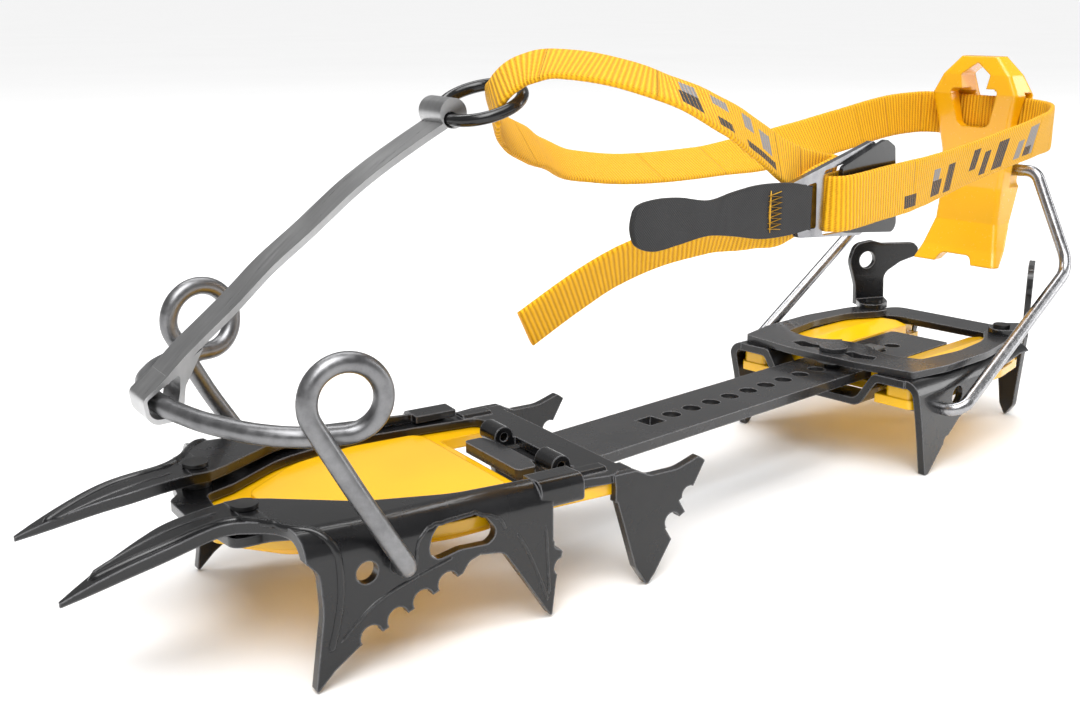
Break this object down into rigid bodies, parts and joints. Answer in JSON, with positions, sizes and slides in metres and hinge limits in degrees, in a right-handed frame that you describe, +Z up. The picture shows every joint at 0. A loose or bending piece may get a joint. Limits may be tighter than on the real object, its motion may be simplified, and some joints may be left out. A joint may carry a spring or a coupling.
{
  "type": "strap-on crampon",
  "caption": "Hinged steel crampon with front points, wire toe bail, heel lever, adjustable centre bar and a webbing ankle strap.",
  "frame": {"origin": "under the middle of the whole crampon's bounding box, in the plane that the tooth tips stand on", "axes": "+X from the toe to the heel along the centre bar, +Y from the outer to the inner side, +Z up"},
  "size_m": [0.3417, 0.1046, 0.1311],
  "materials": {
    "black_steel": "semi-gloss black coating",
    "yellow_plastic": "glossy yellow moulded plastic",
    "lever_plastic": "glossy yellow moulded plastic",
    "rivet_steel": "dark plated steel",
    "bar_steel": "satin dark grey coating",
    "cradle_steel": "satin dark grey coating",
    "spring_steel": "bright spring steel",
    "rear_wire": "satin bright steel wire",
    "toe_wire": "satin grey steel wire",
    "link_steel": "brushed bright steel strip",
    "ring_black": "gloss black",
    "buckle_steel": "polished steel",
    "buckle_black": "gloss black",
    "tab_fabric": "black woven tape",
    "webbing": "ribbed golden yellow webbing"
  },
  "bodies": {
    "front_section": {"front_frame": "black_steel", "cross_yoke": "black_steel", "front_antibott": "yellow_plastic", "front_rivets": "rivet_steel"},
    "bar": {"center_bar": "bar_steel"},
    "heel_section": {"heel_frame": "black_steel", "heel_cradle": "cradle_steel", "cradle_posts": "black_steel", "cradle_rivets": "rivet_steel", "heel_antibott": "yellow_plastic", "latch_spring": "spring_steel"},
    "latch": {"latch_pin": "rivet_steel"},
    "rear_wire": {"rear_bail": "rear_wire"},
    "lever": {"heel_lever": "lever_plastic", "strap_lever": "webbing"},
    "toe_wire": {"toe_bail": "toe_wire"},
    "link": {"toe_link": "link_steel"},
    "strap_rear": {"strap_near_rear": "webbing", "strap_far_rear": "webbing"},
    "strap_slide": {"strap_near_slide": "webbing", "strap_far_slide": "webbing"},
    "strap_middle": {"strap_near_buckle": "webbing", "strap_far_middle": "webbing", "strap_tail": "webbing", "buckle_frame": "buckle_steel", "buckle_plate": "buckle_black"},
    "tab": {"pull_tab": "tab_fabric"},
    "strap_top": {"strap_near_top": "webbing", "strap_far_top": "webbing"},
    "strap_toe": {"strap_near_toe": "webbing", "strap_far_toe": "webbing"},
    "ring": {"tether_ring": "ring_black", "strap_ring": "webbing"}
  },
  "joints": [
    {"name": "bar_tilt", "type": "hinge", "parent": "front_section", "child": "bar", "pos_m": [-0.05138, -0.00835, 0.0316], "axis": [0.1685, 0.9857, 0], "range_deg": [-3, 3], "deforming": ["strap_near_top", "strap_far_top"]},
    {"name": "length_adjust", "type": "slide", "parent": "bar", "child": "heel_section", "axis": [1, 0, 0], "range_m": [-0.0428, 0.01712], "deforming": ["strap_near_slide", "strap_far_slide", "latch_pin"]},
    {"name": "latch_lift", "type": "slide", "parent": "heel_section", "child": "latch", "axis": [0, 0, 1], "range_m": [0, 0.0035], "stiffness_N_per_m": 400, "springref_m": -0.003, "deforming": ["latch_spring"]},
    {"name": "rear_bail_swing", "type": "hinge", "parent": "heel_section", "child": "rear_wire", "pos_m": [0.0882, -0.0085, 0.0203], "axis": [0, 1, 0], "range_deg": [-6, 17], "deforming": ["strap_near_rear", "strap_far_rear", "strap_near_slide", "strap_far_slide"]},
    {"name": "lever_flip", "type": "hinge", "parent": "rear_wire", "child": "lever", "pos_m": [0.1664, -0.0085, 0.084], "axis": [0, 1, 0], "range_deg": [-15, 75], "deforming": ["strap_lever", "strap_near_rear", "strap_far_rear"]},
    {"name": "toe_bail_swing", "type": "hinge", "parent": "front_section", "child": "toe_wire", "pos_m": [-0.10225, 0.00501, 0.0251], "axis": [0.1685, 0.9857, 0], "range_deg": [-6, 12], "deforming": ["strap_near_top", "strap_far_top", "strap_near_toe", "strap_far_toe", "strap_ring"]},
    {"name": "toe_link_swing", "type": "hinge", "parent": "toe_wire", "child": "link", "pos_m": [-0.1403, 0.01152, 0.0583], "axis": [0.1685, 0.9857, 0], "range_deg": [-8, 8], "deforming": ["strap_near_toe", "strap_far_toe", "strap_ring"]},
    {"name": "strap_rear_turn", "type": "hinge", "parent": "lever", "child": "strap_rear", "pos_m": [0.1664, -0.0085, 0.084], "axis": [0, 1, 0], "range_deg": [-75, 15]},
    {"name": "strap_slide_turn", "type": "hinge", "parent": "strap_rear", "child": "strap_slide", "pos_m": [0.0882, -0.0085, 0.0203], "axis": [0, 1, 0], "range_deg": [-17, 6]},
    {"name": "strap_feed", "type": "slide", "parent": "strap_slide", "child": "strap_middle", "axis": [1, 0, 0], "range_m": [-0.01712, 0.0428]},
    {"name": "strap_top_turn", "type": "hinge", "parent": "strap_middle", "child": "strap_top", "pos_m": [-0.05138, -0.00835, 0.0316], "axis": [0.1685, 0.9857, 0], "range_deg": [-3, 3]},
    {"name": "strap_toe_turn", "type": "hinge", "parent": "strap_top", "child": "strap_toe", "pos_m": [-0.10225, 0.00501, 0.0251], "axis": [0.1685, 0.9857, 0], "range_deg": [-6, 12]},
    {"name": "ring_turn", "type": "hinge", "parent": "strap_toe", "child": "ring", "pos_m": [-0.1403, 0.01152, 0.0583], "axis": [0.1685, 0.9857, 0], "range_deg": [-8, 8]},
    {"name": "tab_swing", "type": "hinge", "parent": "strap_middle", "child": "tab", "pos_m": [0.006, -0.0473, 0.0904], "axis": [-0.2779, 0, 0.9606], "range_deg": [0, 60], "deforming": ["pull_tab"]}
  ],
  "couplings": [
    {"joint": "strap_rear_turn", "follows": "lever_flip", "ratio": -1},
    {"joint": "strap_slide_turn", "follows": "rear_bail_swing", "ratio": -1},
    {"joint": "strap_feed", "follows": "length_adjust", "ratio": -1},
    {"joint": "strap_top_turn", "follows": "bar_tilt", "ratio": -1},
    {"joint": "strap_toe_turn", "follows": "toe_bail_swing", "ratio": 1},
    {"joint": "ring_turn", "follows": "toe_link_swing", "ratio": 1}
  ]
}
